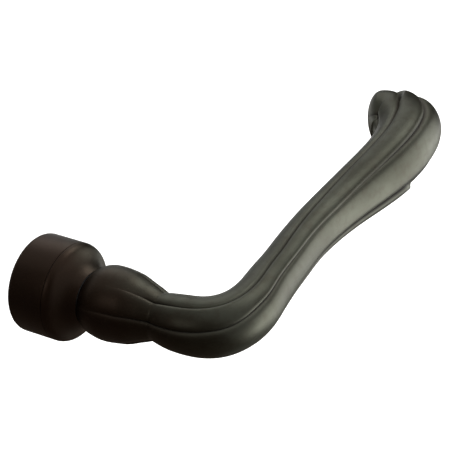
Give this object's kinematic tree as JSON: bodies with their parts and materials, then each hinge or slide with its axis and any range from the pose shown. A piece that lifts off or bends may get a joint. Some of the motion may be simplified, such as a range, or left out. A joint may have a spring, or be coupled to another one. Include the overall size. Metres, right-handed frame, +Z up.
{
  "type": "lever handle",
  "caption": "Lever handle with a lobed, leaf-like arm that curls at its tip, turning in a round domed collar against a return spring.",
  "frame": {"origin": "centre of the collar's rear face, on the axis that the lever turns about", "axes": "+Z up, +X along the arm from the collar to its tip, -Y out from the mounting surface towards the user; the rear face lies at y = 0 and faces +Y"},
  "size_m": [0.1368, 0.0658, 0.0264],
  "materials": {
    "dark_bronze": "oil-rubbed, near-black warm brown, satin",
    "zinc_plated_steel": "zinc plated, satin",
    "black_oxide_steel": "black oxide",
    "spring_steel": "drawn wire, oiled",
    "bearing_plastic": "natural acetal, matt"
  },
  "bodies": {
    "collar": {"base_plate": "zinc_plated_steel", "collar_sleeve": "dark_bronze", "dome_cap": "dark_bronze", "collar_screw": "black_oxide_steel", "bearing_plate": "zinc_plated_steel", "stop_pins": "zinc_plated_steel", "rear_bush": "bearing_plastic", "front_bush": "bearing_plastic", "return_spring": "spring_steel"},
    "lever": {"lever_arm": "dark_bronze", "drive_sleeve": "zinc_plated_steel", "sleeve_pin": "spring_steel", "spindle_screw": "black_oxide_steel", "cam_plate": "zinc_plated_steel", "circlip": "spring_steel", "wave_washer": "spring_steel"}
  },
  "joints": [
    {"name": "lever_turn", "type": "hinge", "parent": "collar", "child": "lever", "pos_m": [0, 0, 0], "axis": [0, 1, 0], "range_deg": [0, 45], "stiffness_Nm_per_rad": 0.6, "springref_deg": -28.65, "deforming": ["return_spring"]}
  ]
}
